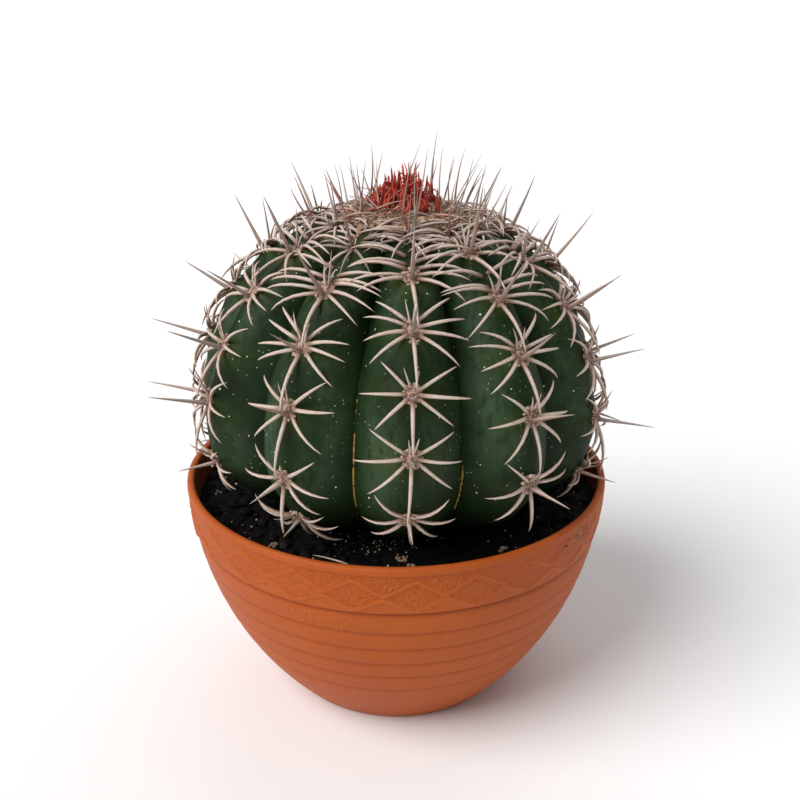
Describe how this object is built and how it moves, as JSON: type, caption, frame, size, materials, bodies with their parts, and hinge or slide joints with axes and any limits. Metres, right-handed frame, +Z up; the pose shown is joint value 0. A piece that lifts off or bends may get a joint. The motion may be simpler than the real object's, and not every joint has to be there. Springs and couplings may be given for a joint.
{
  "type": "potted round cactus",
  "caption": "Round ribbed cactus with star-like spine clusters and a red-tufted woolly crown, rooted in dark soil in a bowl-shaped terracotta-coloured pot.",
  "frame": {"origin": "centre of the pot's foot, on the surface that the pot stands on", "axes": "+Z up along the pot's axis, -Y towards the front, +X to the right seen from the front; the plant leans 1.7 degrees towards +X"},
  "size_m": [0.192, 0.1893, 0.2171],
  "materials": {
    "terracotta_pot": "matt terracotta orange with a fine grain, moulded bands and a stippled triangle border",
    "potting_mix": "rough, crumbly, nearly black",
    "cactus_skin": "waxy satin dark green with fine pale specks",
    "crown_wool": "matted cream-brown wool",
    "red_bristle": "satin crimson bristles with darker roots",
    "spine": "satin horn, cream to pinkish tan, browner at the base and grey at the tip"
  },
  "bodies": {
    "root": {"bowl_pot": "terracotta_pot", "potting_soil": "potting_mix", "cactus_body": "cactus_skin", "crown_wool_and_spines": "crown_wool", "cephalium_bristles": "red_bristle", "spine_cluster_1_1": "spine", "spine_cluster_1_2": "spine", "spine_cluster_1_3": "spine", "spine_cluster_1_4": "spine", "spine_cluster_1_5": "spine", "spine_cluster_2_1": "spine", "spine_cluster_2_2": "spine", "spine_cluster_2_3": "spine", "spine_cluster_2_4": "spine", "spine_cluster_2_5": "spine", "spine_cluster_3_1": "spine", "spine_cluster_3_2": "spine", "spine_cluster_3_3": "spine", "spine_cluster_3_4": "spine", "spine_cluster_3_5": "spine", "spine_cluster_4_1": "spine", "spine_cluster_4_2": "spine", "spine_cluster_4_3": "spine", "spine_cluster_4_4": "spine", "spine_cluster_4_5": "spine", "spine_cluster_5_1": "spine", "spine_cluster_5_2": "spine", "spine_cluster_5_3": "spine", "spine_cluster_5_4": "spine", "spine_cluster_5_5": "spine", "spine_cluster_6_1": "spine", "spine_cluster_6_2": "spine", "spine_cluster_6_3": "spine", "spine_cluster_6_4": "spine", "spine_cluster_6_5": "spine", "spine_cluster_7_1": "spine", "spine_cluster_7_2": "spine", "spine_cluster_7_3": "spine", "spine_cluster_7_4": "spine", "spine_cluster_7_5": "spine", "spine_cluster_8_1": "spine", "spine_cluster_8_2": "spine", "spine_cluster_8_3": "spine", "spine_cluster_8_4": "spine", "spine_cluster_8_5": "spine", "spine_cluster_9_1": "spine", "spine_cluster_9_2": "spine", "spine_cluster_9_3": "spine", "spine_cluster_9_4": "spine", "spine_cluster_9_5": "spine", "spine_cluster_10_1": "spine", "spine_cluster_10_2": "spine", "spine_cluster_10_3": "spine", "spine_cluster_10_4": "spine", "spine_cluster_10_5": "spine", "spine_cluster_11_1": "spine", "spine_cluster_11_2": "spine", "spine_cluster_11_3": "spine", "spine_cluster_11_4": "spine", "spine_cluster_11_5": "spine"}
  },
  "joints": []
}
